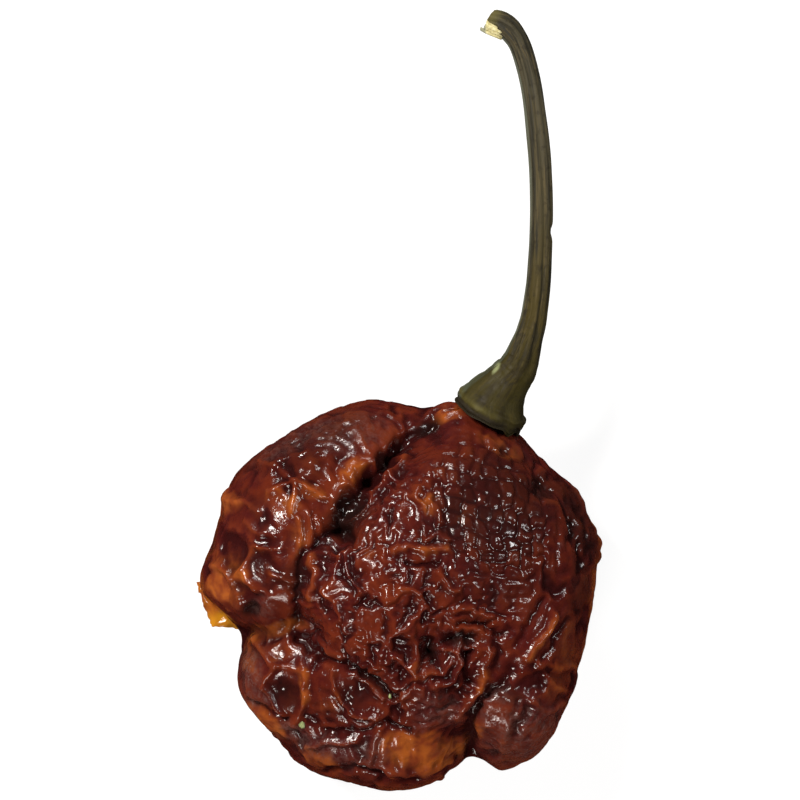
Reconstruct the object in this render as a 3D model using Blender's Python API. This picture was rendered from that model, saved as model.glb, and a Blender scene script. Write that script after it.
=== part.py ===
"""A dried chilli pepper lying on a table: a shrunken pod, the woody calyx on its shoulder and a curved stem.

Lengths are in metres. +Z is up and +Y runs from the pod to the tip of the stem. The origin is on the
table, below the middle of the whole pepper.
"""

import math

import bmesh
import bpy
from mathutils import Vector, noise

MM = 0.001
GAP = 0.3 * MM  # kept between pieces that touch

# The pod, seen from above, is a rounded lobed outline about POD_CENTRE.
POD_CENTRE = Vector((0.1, -16.6, 8.6)) * MM  # at the height of the widest outline
POD_CROWN = 9.6 * MM  # rise of the pod's back above its widest outline
POD_BELLY = 9.6 * MM  # drop below it, of which the part under the table plane is cut flat
SIDE_STEEPNESS = 0.82  # under 1 makes the flanks steeper than an ellipsoid's
POD_SUBDIVISIONS = 5
FOLD_SMOOTHING = 2

# Outline: (angle in degrees from +X, radius in mm). Lobes are the high radii, the waists between them low.
POD_OUTLINE = (
    (0, 17.0), (12, 17.6), (28, 17.5), (45, 16.9), (62, 16.9), (78, 16.2), (90, 16.4), (102, 16.9),
    (118, 16.7), (135, 17.2), (150, 17.5), (157, 17.0), (168, 17.2), (180, 17.6), (187, 17.2),
    (196, 14.6), (206, 15.9), (222, 16.6), (241, 17.7), (256, 17.3), (272, 17.3), (282, 17.1),
    (293, 15.4), (301, 17.9), (311, 18.5), (325, 17.7), (342, 16.8), (351, 16.5),
)

# Folds run over the pod's back: (points in mm from the pod's centre, half width in mm, depth in mm).
BACK_FOLDS = (
    (((1.6, 14.0), (-0.4, 12.2), (-2.6, 10.0), (-4.8, 7.4), (-5.6, 5.4)), 1.4, 2.6),
    (((-5.6, 5.4), (-7.8, 3.8), (-8.6, 0.9), (-8.7, -3.0)), 1.1, 1.6),
    (((-17.0, -3.2), (-13.0, -3.7), (-8.9, -3.4)), 1.2, 1.7),
    (((-8.7, -3.4), (-8.7, -6.5), (-8.2, -10.5), (-9.6, -14.0)), 1.1, 1.2),
    (((-8.5, -4.6), (-5.2, -5.9), (-3.0, -6.6), (-0.6, -8.9), (1.6, -10.8)), 1.0, 1.5),
    (((6.4, -16.0), (6.3, -12.5), (6.5, -9.3), (8.2, -6.0)), 1.2, 2.2),
    (((-7.5, -12.0), (-3.5, -12.3), (1.6, -12.6), (5.8, -12.2)), 1.1, 1.0),
    (((2.6, -3.6), (3.0, -4.8)), 1.1, 1.8),
)

# Folds on the belly stop short of the flat that the pod rests on.
BELLY_FOLDS = (
    (((17.0, 5.0), (13.0, 3.6), (10.6, 2.4)), 1.5, 1.8),
    (((-13.0, 12.0), (-9.8, 9.2), (-8.4, 7.4)), 1.5, 2.0),
    (((-15.6, -5.0), (-12.4, -4.0), (-10.4, -3.2)), 1.4, 1.6),
    (((-3.0, -17.0), (-2.2, -13.6), (-1.8, -11.0)), 1.5, 1.8),
    (((6.6, -15.6), (6.0, -12.8), (5.4, -11.0)), 1.3, 1.8),
    (((5.0, 16.0), (4.0, 13.0), (3.2, 10.8)), 1.4, 1.5),
)

# Swellings of the flesh between the folds: (x, y, radius, height), in mm from the pod's centre.
BACK_SWELLS = (
    (-11.8, 2.6, 4.6, 1.0),
    (-8.2, 10.6, 4.8, 0.9),
    (0.2, -0.8, 6.0, 1.4),
    (7.4, 7.6, 6.5, 1.2),
    (12.4, -3.4, 4.5, 0.6),
    (11.6, -11.4, 4.0, 0.9),
    (-12.2, -8.4, 3.4, 0.7),
    (-1.6, -15.0, 3.6, 0.5),
)
LUMP_HEIGHT = 0.35 * MM
LUMP_SPACING = 4.5 * MM

# Calyx and stem follow one line: (x, y, z, radius), in mm. The calyx flares onto the pod's shoulder.
CALYX_LINE = (
    (7.92, -1.12, 11.04, 3.30),
    (8.10, -0.80, 11.13, 3.36),
    (8.40, -0.16, 11.31, 3.00),
    (8.88, 0.79, 11.58, 2.48),
    (9.61, 1.86, 11.90, 2.02),
    (10.12, 2.58, 12.10, 1.78),
    (10.62, 3.60, 12.36, 1.56),
)
STEM_LINE = (
    (10.79, 4.06, 12.45, 1.46),
    (11.02, 4.90, 12.61, 1.34),
    (11.43, 6.10, 12.80, 1.22),
    (11.76, 7.50, 12.98, 1.14),
    (12.10, 9.90, 13.18, 1.07),
    (12.28, 12.60, 13.28, 1.03),
    (12.36, 15.60, 13.25, 1.02),
    (12.33, 18.60, 13.12, 1.01),
    (12.15, 21.80, 12.86, 0.98),
    (11.74, 25.60, 12.45, 0.93),
    (11.24, 28.40, 12.08, 0.92),
    (10.60, 30.50, 11.76, 0.96),
    (9.90, 31.80, 11.52, 1.02),
    (9.00, 32.60, 11.32, 1.08),
    (8.40, 32.80, 11.22, 1.04),
)
STEM_SIDES = 14
PITH_LENGTH = 0.7 * MM
PITH_RADIUS = 0.50 * MM

SKIN_COLOUR = (0.090, 0.018, 0.010, 1.0)
WOOD_COLOUR = (0.060, 0.052, 0.022, 1.0)
BARK_COLOUR = (0.075, 0.062, 0.038, 1.0)
PITH_COLOUR = (0.640, 0.590, 0.300, 1.0)


def material(name, colour, roughness):
    made = bpy.data.materials.new(name)
    made.use_nodes = True
    shader = made.node_tree.nodes["Principled BSDF"]
    shader.inputs["Base Color"].default_value = colour
    shader.inputs["Roughness"].default_value = roughness
    shader.inputs["Metallic"].default_value = 0.0
    return made


def add_object(name, data, finish):
    made = bpy.data.objects.new(name, data)
    made.data.materials.append(finish)
    bpy.context.scene.collection.objects.link(made)
    return made


def smooth_step(value, low, high):
    share = min(1.0, max(0.0, (value - low) / (high - low)))
    return share * share * (3.0 - 2.0 * share)


def outline_radius(angle):
    """The pod's radius at a plan angle in degrees, on a smooth closed curve through POD_OUTLINE."""
    count = len(POD_OUTLINE)
    start = max(i for i in range(count) if POD_OUTLINE[i][0] <= angle)
    angles = []
    radii = []
    for step in (-1, 0, 1, 2):
        turns, index = divmod(start + step, count)
        angles.append(POD_OUTLINE[index][0] + 360.0 * turns)
        radii.append(POD_OUTLINE[index][1])
    span = angles[2] - angles[1]
    t = (angle - angles[1]) / span
    slope_in = (radii[2] - radii[0]) / (angles[2] - angles[0]) * span
    slope_out = (radii[3] - radii[1]) / (angles[3] - angles[1]) * span
    return MM * (
        (2 * t**3 - 3 * t**2 + 1) * radii[1]
        + (t**3 - 2 * t**2 + t) * slope_in
        + (-2 * t**3 + 3 * t**2) * radii[2]
        + (t**3 - t**2) * slope_out
    )


def distance_to_line(x, y, points):
    """Distance in mm, seen from above, to a line through these points."""
    nearest = math.inf
    for (ax, ay), (bx, by) in zip(points, points[1:]):
        dx, dy = bx - ax, by - ay
        along = ((x - ax) * dx + (y - ay) * dy) / (dx * dx + dy * dy)
        along = min(1.0, max(0.0, along))
        nearest = min(nearest, math.hypot(x - ax - along * dx, y - ay - along * dy))
    return nearest


def fold_depth(x, y, folds):
    return sum(
        depth * math.exp(-((distance_to_line(x, y, points) / width) ** 2))
        for points, width, depth in folds
    )


def swell_height(x, y):
    return sum(
        height * math.exp(-((math.hypot(x - cx, y - cy) / radius) ** 2))
        for cx, cy, radius, height in BACK_SWELLS
    )


def pod_point(direction):
    """Where the ball's unit direction lands on the pod's surface."""
    angle = math.degrees(math.atan2(direction.y, direction.x)) % 360.0
    across = math.hypot(direction.x, direction.y)
    reach = outline_radius(angle) * across**SIDE_STEEPNESS
    heading = Vector((direction.x, direction.y, 0.0))
    point = heading.normalized() * reach if across > 1e-6 else Vector()
    point.z = direction.z * (POD_CROWN if direction.z > 0 else POD_BELLY)

    x, y = point.x / MM, point.y / MM
    back = smooth_step(direction.z, -0.45, 0.0)
    change = back * (swell_height(x, y) - fold_depth(x, y, BACK_FOLDS)) * MM
    change -= (1.0 - back) * fold_depth(x, y, BELLY_FOLDS) * MM
    change += LUMP_HEIGHT * noise.noise(point / LUMP_SPACING)
    return point + point.normalized() * change


def make_pod(finish):
    """One closed body of flesh and skin. Its belly is cut flat where it rests on the table."""
    bm = bmesh.new()
    bmesh.ops.create_icosphere(bm, subdivisions=POD_SUBDIVISIONS, radius=1.0)
    for vertex in bm.verts:
        vertex.co = pod_point(vertex.co) + POD_CENTRE
    for _ in range(FOLD_SMOOTHING):
        bmesh.ops.smooth_vert(
            bm, verts=bm.verts[:], factor=0.5, use_axis_x=True, use_axis_y=True, use_axis_z=True
        )
    whole = bm.verts[:] + bm.edges[:] + bm.faces[:]
    bmesh.ops.bisect_plane(
        bm, geom=whole, dist=1e-6, plane_co=(0, 0, 0), plane_no=(0, 0, 1), clear_inner=True
    )
    open_edges = [edge for edge in bm.edges if edge.is_boundary]
    bmesh.ops.holes_fill(bm, edges=open_edges)
    bmesh.ops.recalc_face_normals(bm, faces=bm.faces[:])
    mesh = bpy.data.meshes.new("pod")
    bm.to_mesh(mesh)
    bm.free()
    mesh.shade_smooth()
    mesh.set_sharp_from_angle(angle=math.radians(60))
    return add_object("pod", mesh, finish)


def make_rod(name, line, finish):
    """A round rod that follows a line and changes thickness along it, with flat ends."""
    curve = bpy.data.curves.new(name, "CURVE")
    curve.dimensions = "3D"
    curve.bevel_depth = MM
    curve.bevel_resolution = STEM_SIDES // 2 - 2
    curve.use_fill_caps = True
    spline = curve.splines.new("POLY")
    spline.points.add(len(line) - 1)
    for point, (x, y, z, radius) in zip(spline.points, line):
        point.co = (x * MM, y * MM, z * MM, 1.0)
        point.radius = radius
    return add_object(name, curve, finish)


def make_pith(finish):
    """The pale splinter of pith that stands out of the stem's broken end."""
    end = Vector(STEM_LINE[-1][:3]) * MM
    outward = (end - Vector(STEM_LINE[-2][:3]) * MM).normalized()
    bm = bmesh.new()
    bmesh.ops.create_cone(
        bm, cap_ends=True, segments=8, radius1=PITH_RADIUS, radius2=0.6 * PITH_RADIUS, depth=PITH_LENGTH
    )
    bmesh.ops.rotate(bm, verts=bm.verts[:], matrix=outward.to_track_quat("Z", "Y").to_matrix())
    bmesh.ops.translate(bm, verts=bm.verts[:], vec=end + outward * (GAP + PITH_LENGTH / 2))
    mesh = bpy.data.meshes.new("stem_pith")
    bm.to_mesh(mesh)
    bm.free()
    return add_object("stem_pith", mesh, finish)


def stand_on_origin(pieces):
    """Hangs the pieces on one empty, which puts the middle of their common box over the origin."""
    bpy.context.view_layer.update()
    corners = [Vector(corner) for piece in pieces for corner in piece.bound_box]
    pepper = bpy.data.objects.new("pepper", None)
    bpy.context.scene.collection.objects.link(pepper)
    for axis in (0, 1):
        along = [corner[axis] for corner in corners]
        pepper.location[axis] = -(min(along) + max(along)) / 2
    for piece in pieces:
        piece.parent = pepper


def main():
    for obj in list(bpy.data.objects):
        bpy.data.objects.remove(obj)
    pod = make_pod(material("chilli_skin", SKIN_COLOUR, 0.35))
    calyx = make_rod("calyx", CALYX_LINE, material("calyx_wood", WOOD_COLOUR, 0.60))
    stem = make_rod("stem", STEM_LINE, material("stem_bark", BARK_COLOUR, 0.60))
    pith = make_pith(material("stem_pith", PITH_COLOUR, 0.85))
    stand_on_origin((pod, calyx, stem, pith))


main()
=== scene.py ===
"""A dried chilli pepper on a white table, seen from straight above.

The pod is a ball of skin pulled onto the plain pod, creased where the real one is creased and
then dried: the skin keeps its size while the flesh under it shrinks, so it buckles into wrinkles.
Lengths are in metres, with +Z up and +Y from the pod to the tip of the stem.
"""
import itertools
import math

import bmesh
import bpy
import numpy as np
from mathutils import Matrix, Vector, noise
from mathutils.bvhtree import BVHTree


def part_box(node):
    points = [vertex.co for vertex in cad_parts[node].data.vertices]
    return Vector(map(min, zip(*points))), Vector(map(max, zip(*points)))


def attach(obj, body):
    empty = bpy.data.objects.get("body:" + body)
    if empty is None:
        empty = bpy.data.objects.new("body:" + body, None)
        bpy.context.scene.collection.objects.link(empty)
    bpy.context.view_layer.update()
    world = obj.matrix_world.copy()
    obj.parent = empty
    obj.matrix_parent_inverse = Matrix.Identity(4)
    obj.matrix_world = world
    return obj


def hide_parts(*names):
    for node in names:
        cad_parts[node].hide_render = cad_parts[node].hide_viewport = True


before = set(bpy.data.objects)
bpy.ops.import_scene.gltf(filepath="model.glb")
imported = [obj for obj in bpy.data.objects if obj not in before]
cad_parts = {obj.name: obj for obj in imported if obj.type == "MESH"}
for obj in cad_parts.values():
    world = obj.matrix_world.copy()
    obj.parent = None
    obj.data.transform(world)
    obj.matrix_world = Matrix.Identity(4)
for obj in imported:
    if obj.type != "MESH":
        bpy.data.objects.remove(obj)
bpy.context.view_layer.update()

MM = 0.001

# ---------------------------------------------------------------------------------------------------
# Table, lights and camera
# The pepper lies on a plain white table under soft boxes. The camera looks straight down with a
# long lens, the tip of the stem at the top of its view.
# ---------------------------------------------------------------------------------------------------
TABLE_SIZE = 1.6
TABLE_DROP = 0.02 * MM
VIEW_MIDDLE = Vector((0.25, 0.21, 9.0)) * MM
VIEW_WIDTH = 69.6 * MM
CAMERA_DISTANCE = 300 * MM
SENSOR = 36.0

scene = bpy.context.scene
scene.view_settings.view_transform = "Standard"
scene.view_settings.look = "None"


def plain_material(name, colour, roughness):
    made = bpy.data.materials.new(name)
    made.use_nodes = True
    shader = made.node_tree.nodes["Principled BSDF"]
    shader.inputs["Base Color"].default_value = (*colour, 1.0)
    shader.inputs["Roughness"].default_value = roughness
    return made


def piece_from(bm, name, material, smooth=True):
    """Makes the finished object of a bmesh, at the origin, and frees the bmesh."""
    mesh = bpy.data.meshes.new(name)
    bm.to_mesh(mesh)
    bm.free()
    mesh.materials.append(material)
    if smooth:
        mesh.shade_smooth()
    made = bpy.data.objects.new(name, mesh)
    scene.collection.objects.link(made)
    return made


bm = bmesh.new()
bmesh.ops.create_grid(bm, x_segments=4, y_segments=4, size=TABLE_SIZE / 2)
bmesh.ops.translate(bm, verts=bm.verts[:], vec=(0, 0, -TABLE_DROP))
table_white = plain_material("white_table", (0.22, 0.22, 0.22), 0.8)
table_shader = table_white.node_tree.nodes["Principled BSDF"]
table_shader.inputs["Emission Color"].default_value = (1.0, 1.0, 1.0, 1.0)
table_shader.inputs["Emission Strength"].default_value = 0.88
table = piece_from(bm, "table", table_white, smooth=False)
table.visible_glossy = False  # a white table would veil the pod's flanks


def soft_box(name, azimuth, elevation, distance, size, power, colour=(1.0, 1.0, 1.0)):
    """An area light of size (wide, high) that faces the pod. Azimuth 0 is at -Y and 90 at +X."""
    light = bpy.data.lights.new(name, "AREA")
    light.shape = "RECTANGLE"
    light.size, light.size_y = size
    light.energy = power
    light.color = colour
    box = bpy.data.objects.new(name, light)
    a, e = math.radians(azimuth), math.radians(elevation)
    aim = Vector((0.0, -0.010, 0.008))
    away = Vector((math.sin(a) * math.cos(e), -math.cos(a) * math.cos(e), math.sin(e)))
    box.location = aim + away * distance
    box.rotation_euler = away.to_track_quat("Z", "Y").to_euler()
    scene.collection.objects.link(box)


soft_box("key_box", -136, 50, 0.60, (0.13, 0.11), 3.5, (1.0, 0.95, 0.90))
soft_box("right_box", 100, 40, 0.60, (0.06, 0.12), 0.9)
soft_box("front_box", -20, 42, 0.60, (0.13, 0.08), 1.25, (1.0, 0.95, 0.90))
soft_box("top_box", -168, 30, 0.60, (0.12, 0.07), 0.8)
world = bpy.data.worlds.new("room")
scene.world = world
world.use_nodes = True
world.node_tree.nodes["Background"].inputs["Color"].default_value = (1.0, 1.0, 1.0, 1.0)
world.node_tree.nodes["Background"].inputs["Strength"].default_value = 0.09
world.cycles_visibility.glossy = False

lens = bpy.data.cameras.new("camera")
lens.sensor_width = SENSOR
lens.lens = SENSOR * CAMERA_DISTANCE / VIEW_WIDTH
lens.clip_start, lens.clip_end = 0.01, 10.0
camera = bpy.data.objects.new("camera", lens)
camera.location = VIEW_MIDDLE + Vector((0, 0, CAMERA_DISTANCE))
scene.collection.objects.link(camera)
scene.camera = camera

# ---------------------------------------------------------------------------------------------------
# Pod
# The pod's skin and flesh in one closed piece, lying on its flattened belly. Its skin is glossy and
# wrinkled: pleats at the neck, a grid on the right shoulder, worm-like folds in the middle and smooth
# glassy hollows on the left.
# ---------------------------------------------------------------------------------------------------
SKIN_CELLS = 128
BALL_RISE = 0.30
BALL_SPREAD = 1.33
CAD_SMOOTHING = 60
pod_low, pod_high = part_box("pod")
POD_MIDDLE = Vector(((pod_low.x + pod_high.x) / 2, (pod_low.y + pod_high.y) / 2, 0))
POD_MIDDLE += Vector((0.22, 0.55, 8.6)) * MM


def skin_ball(cells):
    """A ball of even quads, made by dividing a cube's faces."""
    bm = bmesh.new()
    bmesh.ops.create_cube(bm, size=2.0)
    bmesh.ops.subdivide_edges(bm, edges=bm.edges[:], cuts=cells - 1, use_grid_fill=True)
    return bm


def plain_pod_tree():
    bm = bmesh.new()
    bm.from_mesh(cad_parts["pod"].data)
    bmesh.ops.remove_doubles(bm, verts=bm.verts[:], dist=1e-6)
    tree = BVHTree.FromBMesh(bm)
    bm.free()
    return tree


def read_points(mesh):
    flat = np.empty(len(mesh.vertices) * 3, np.float32)
    mesh.vertices.foreach_get("co", flat)
    return flat.reshape(-1, 3).astype(np.float64)


def read_normals(mesh):
    flat = np.empty(len(mesh.vertices) * 3, np.float32)
    mesh.vertices.foreach_get("normal", flat)
    return flat.reshape(-1, 3).astype(np.float64)


def write_points(mesh, points):
    mesh.vertices.foreach_set("co", points.astype(np.float32).ravel())
    mesh.update()


def neighbours(pairs, count, most):
    """For each vertex the others that it is paired with. A missing one is the vertex itself."""
    keys = np.unique(pairs[0].astype(np.int64) * count + pairs[1])
    sources, ends = keys // count, keys % count
    starts = np.searchsorted(sources, np.arange(count))
    near = np.repeat(np.arange(count)[:, None], most, axis=1)
    near[sources, np.arange(len(keys)) - starts[sources]] = ends
    return near


def links_of(mesh):
    """Each vertex's 4 neighbours along the sides of its quads, then its 4 across their corners."""
    quads = np.empty(len(mesh.polygons) * 4, np.int32)
    mesh.polygons.foreach_get("vertices", quads)
    a, b, c, d = quads.reshape(-1, 4).T
    sides = np.concatenate([(a, b), (b, c), (c, d), (d, a)], axis=1)
    corners = np.concatenate([(a, c), (b, d)], axis=1)
    count = len(mesh.vertices)
    found = [neighbours(np.concatenate([p, p[::-1]], axis=1), count, 4) for p in (sides, corners)]
    return np.concatenate(found, axis=1)


def around(values, links):
    """How far the mean of each vertex's neighbours is from it. Those on the sides count four times."""
    sides = values[links[:, 0]] + values[links[:, 1]] + values[links[:, 2]] + values[links[:, 3]]
    corners = values[links[:, 4]] + values[links[:, 5]] + values[links[:, 6]] + values[links[:, 7]]
    return 0.2 * sides + 0.05 * corners - values


def blurred(values, links, passes):
    for _ in range(passes):
        values = values + 0.8 * around(values, links)
    return values


skin_bm = skin_ball(SKIN_CELLS)
skin_mesh = bpy.data.meshes.new("pod_skin")
skin_bm.to_mesh(skin_mesh)
skin_bm.free()
links = links_of(skin_mesh)

ball = read_points(skin_mesh)
# Equal angles on the cube's faces make the quads even.
ball = np.tan(ball * math.pi / 4)
ball /= np.linalg.norm(ball, axis=1, keepdims=True)
ball[:, 2] += BALL_RISE
ball[:, :2] *= BALL_SPREAD
ball /= np.linalg.norm(ball, axis=1, keepdims=True)
tree = plain_pod_tree()
base = np.array([tree.ray_cast(POD_MIDDLE, Vector(way))[0] for way in ball])
base = blurred(base, links, CAD_SMOOTHING)
# Places where the whole wall is drawn out or in: (x, y, z, radius, by x, by y, by z), in mm from the middle.
WALL_PULLS = (
    (4.6, 15.0, 1.0, 1.9, 0.1, 0.60, 1.1), (7.5, 14.7, 2.2, 2.3, 0.35, 0.95, 0.0),
    (-16.2, 8.2, 0.0, 0.8, -0.30, 0.1, 0.3), (-16.9, -2.5, 0.0, 1.6, 0.80, 0.0, 0.0),
    (-16.9, -2.5, 2.0, 1.6, 0.80, 0.0, 0.0), (-16.9, -2.5, -2.0, 1.6, 0.60, 0.0, 0.0),
    (-10.0, 13.4, 0.0, 4.5, 0.20, -0.34, 0.0), (-16.6, 5.0, 0.0, 2.8, 0.48, 0.0, 0.0),
    (17.2, 4.2, 0.0, 1.4, 0.75, 0.0, 0.0), (-2.0, 16.2, 0.0, 2.0, 0.0, 0.2, 0.0),
    (15.6, 8.4, 0.0, 2.0, 0.25, 0.1, 0.0), (12.8, 11.6, 0.0, 2.4, -0.30, -0.30, 0.0),
    (16.4, -4.6, 0.0, 3.6, -0.10, 0.0, 0.0), (-14.6, -8.0, 0.0, 2.2, 0.2, 0.0, 0.0),
    (-12.6, -11.0, 0.0, 2.2, 0.65, 0.45, 0.0), (-8.6, -14.8, 0.0, 2.2, -0.1, -0.20, 0.0),
    (-3.5, -17.2, 0.0, 3.2, 0.0, 0.1, 0.0), (4.4, -15.6, 0.0, 1.5, 0.0, -0.8, 0.0),
    (5.6, -14.9, 0.0, 1.3, 0.0, -0.7, 0.0), (8.7, -14.4, 0.0, 1.6, 0.0, -1.0, 0.0),
    (13.8, -12.0, 0.0, 2.4, -0.65, 0.35, 0.0),
)
for cx, cy, cz, radius, *by in WALL_PULLS:
    away = np.linalg.norm((base - np.array(POD_MIDDLE)) / MM - (cx, cy, cz), axis=1)
    base = base + np.exp(-((away / radius) ** 2))[:, None] * np.array(by) * MM
write_points(skin_mesh, base)

# Places on the pod's back are in mm from its middle, seen from above.
# Folds and ridges: (points, half width, height). A fold's height is negative.
BACK_LINES = (
    # The deep fold that divides the left lobe from the middle, and its way down to the waist.
    (((2.8, 14.4), (0.9, 13.1), (-0.9, 11.9)), 0.65, -0.65),
    (((-0.1, 12.7), (-1.0, 11.2), (-2.6, 9.9)), 0.50, -0.85),
    (((-2.6, 9.9), (-3.6, 8.2), (-4.6, 6.9), (-4.9, 5.4)), 0.75, -1.05),
    (((-2.6, 11.6), (-1.6, 10.6), (-0.2, 9.8)), 0.28, 0.50),
    (((-4.6, 9.4), (-3.4, 8.8), (-2.2, 8.6)), 0.28, 0.50),
    (((-5.6, 7.2), (-4.6, 6.4), (-3.6, 6.6)), 0.22, 0.30),
    (((-4.9, 5.4), (-6.6, 4.6), (-8.2, 3.4), (-8.5, 1.9), (-8.5, 0.1), (-8.6, -2.6)), 0.45, -0.5),
    (((0.4, 11.6), (-1.2, 9.6), (-3.0, 7.8), (-4.2, 6.4)), 0.45, 0.45),
    (((-2.2, 12.2), (-4.6, 10.0), (-5.6, 7.6)), 0.5, 0.35),
    # The left lobe's star of ridges and its pleats.
    (((-8.8, 9.5), (-8.9, 8.4), (-9.1, 7.2)), 0.22, 0.40),
    (((-8.8, 9.5), (-9.9, 9.3), (-11.0, 8.6)), 0.22, 0.30),
    (((-8.8, 9.5), (-7.6, 9.0), (-6.4, 8.2)), 0.25, 0.35),
    (((-8.8, 9.4), (-10.2, 10.6), (-11.4, 11.0)), 0.25, 0.25),
    (((-8.6, 6.6), (-8.5, 5.2), (-8.6, 3.6)), 0.20, 0.35),
    (((-7.7, 6.9), (-7.5, 5.6), (-7.6, 4.2)), 0.20, 0.35),
    (((-6.9, 6.4), (-6.6, 5.4), (-6.3, 4.6)), 0.20, 0.35),
    (((-12.2, 4.1), (-11.2, 3.9), (-10.1, 4.05)), 0.18, 0.28),
    (((-13.2, 6.0), (-12.0, 5.4), (-10.9, 5.1)), 0.20, 0.22),
    (((-13.3, 2.1), (-12.8, 1.2), (-12.3, 0.2)), 0.30, 0.40),
    (((-11.0, 1.7), (-10.0, 1.5), (-8.9, 0.9)), 0.25, 0.35),
    (((-14.4, 7.6), (-13.2, 7.9), (-12.2, 7.1)), 0.30, 0.30),
    (((-16.2, 2.4), (-15.0, 2.0), (-14.2, 0.4), (-13.6, -1.2)), 0.35, 0.30),
    # Between the left lobe and the worm-like folds.
    (((-7.4, 3.2), (-7.2, 1.6), (-7.5, 0.0)), 0.40, 0.45),
    (((-5.9, 3.4), (-5.1, 3.2), (-4.2, 3.9)), 0.22, 0.40),
    (((-4.4, 3.2), (-4.2, 1.6), (-3.2, 0.2)), 0.22, 0.40),
    (((-6.3, 0.4), (-5.4, -0.6), (-5.2, -2.0)), 0.25, 0.35),
    # The waist, and the lower left lobe with its glassy hollows.
    (((-16.8, -3.0), (-13.4, -3.6), (-9.2, -3.4)), 0.7, -0.45),
    (((-12.6, -4.0), (-11.6, -5.2), (-10.5, -6.3)), 0.28, 0.45),
    (((-10.5, -6.3), (-9.4, -6.2), (-8.4, -6.6)), 0.25, 0.30),
    (((-11.7, -8.2), (-10.9, -9.6), (-10.1, -10.7)), 0.22, 0.45),
    (((-10.5, -6.3), (-11.4, -7.2), (-11.8, -8.2)), 0.22, 0.30),
    (((-8.3, -5.6), (-8.0, -7.4), (-8.2, -9.0), (-9.0, -11.4)), 0.30, 0.40),
    (((-12.9, -9.6), (-11.4, -10.4), (-9.9, -10.9)), 0.25, -0.5),
    # The dark fold below the middle, and the glassy hollow beside it.
    (((-8.5, -3.9), (-7.2, -5.0), (-5.7, -5.6), (-4.3, -6.2), (-2.0, -7.3), (-0.3, -8.7)), 0.35, -0.6),
    (((-5.6, -6.2), (-5.4, -8.0), (-5.0, -9.2), (-3.6, -10.2), (-2.2, -10.5)), 0.22, 0.45),
    (((-4.0, -6.7), (-2.6, -7.7), (-1.6, -8.8)), 0.20, 0.35),
    # The bottom edge.
    (((-7.8, -13.3), (-6.6, -12.9), (-5.5, -12.9), (-3.6, -12.5)), 0.25, 0.40),
    (((-6.0, -15.4), (-4.0, -15.0), (-1.6, -15.7)), 0.40, -0.45),
    (((-6.4, -11.8), (-3.2, -11.7), (-1.2, -11.0), (1.0, -11.4)), 0.30, -0.3),
    (((-0.8, -15.4), (1.6, -15.6), (4.2, -14.6)), 0.35, 0.35),
    # The hollow in the middle of the lower half, and the curls round it.
    (((2.6, -3.9), (2.9, -5.6)), 0.45, -0.7),
    (((4.0, -3.7), (5.2, -3.4), (6.4, -4.0)), 0.45, -0.7),
    (((6.0, -5.0), (5.6, -6.4), (6.0, -7.2)), 0.35, -0.5),
    (((0.9, -3.4), (1.4, -4.6), (1.2, -5.8)), 0.50, 0.45),
    (((3.6, -4.6), (4.8, -4.9), (5.2, -5.9), (4.6, -7.2), (3.0, -7.6)), 0.35, 0.45),
    (((4.2, -5.6), (3.6, -6.5), (2.4, -6.6)), 0.25, 0.35),
    (((1.4, -6.9), (0.6, -5.8), (-0.4, -5.4)), 0.30, 0.35),
    (((7.4, -5.0), (7.2, -6.9), (6.6, -8.6), (4.9, -10.3)), 0.45, 0.55),
    # The notch between the bottom and the lower right lobe.
    (((6.5, -15.2), (6.2, -13.4), (6.0, -11.3), (7.0, -8.9), (8.8, -7.4)), 0.45, -0.65),
    (((8.6, -14.8), (9.0, -12.8), (9.4, -11.0)), 0.25, 0.30),
    (((9.9, -9.0), (9.6, -10.6), (10.2, -12.0)), 0.25, -0.25),
    (((11.2, -9.4), (12.6, -10.2), (14.0, -9.8)), 0.30, 0.25),
    # The straight ridge in the right lobe, and the facets beside it.
    (((13.2, -1.8), (12.6, -2.9), (11.6, -4.3), (10.8, -5.5)), 0.34, 0.42),
    (((12.2, -0.6), (11.0, -2.6), (9.9, -4.4)), 0.35, -0.22),
    (((14.6, -2.2), (13.0, -4.4), (12.0, -6.0)), 0.28, -0.18),
    (((12.0, -6.0), (13.6, -6.6), (15.2, -6.4)), 0.25, 0.25),
    (((11.8, -5.9), (12.8, -7.6), (14.4, -8.8)), 0.25, 0.25),
    # The big folds above the middle.
    (((-0.3, 3.9), (0.8, 4.3), (2.2, 4.0), (3.9, 3.7)), 0.35, 0.55),
    (((2.4, 4.9), (3.4, 5.4), (4.2, 4.6)), 0.30, 0.35),
    (((3.0, 1.8), (3.8, 1.2), (4.7, 0.5)), 0.35, 0.45),
    (((0.6, 2.9), (1.8, 2.8), (3.0, 2.6)), 0.30, -0.40),
    (((1.6, 9.0), (1.4, 8.2), (1.9, 7.4)), 0.35, 0.45),
    (((2.4, 7.9), (3.2, 7.2), (3.6, 6.4)), 0.35, 0.35),
    (((0.2, 0.6), (1.6, 0.2), (2.2, -1.0), (1.2, -2.0)), 0.35, 0.40),
    (((4.6, -1.2), (6.2, -1.0), (7.6, -1.8)), 0.30, 0.40),
    (((5.0, -2.4), (6.8, -2.4), (8.4, -3.4)), 0.30, -0.45),
    # The rim of the right shoulder, outside the grid.
    (((9.2, 12.4), (11.6, 10.8), (13.6, 8.6), (15.0, 5.4), (15.6, 2.0)), 0.45, -0.40),
    (((13.0, 12.0), (15.0, 9.6), (16.6, 6.2), (17.0, 2.4)), 0.45, 0.30),
)

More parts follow.
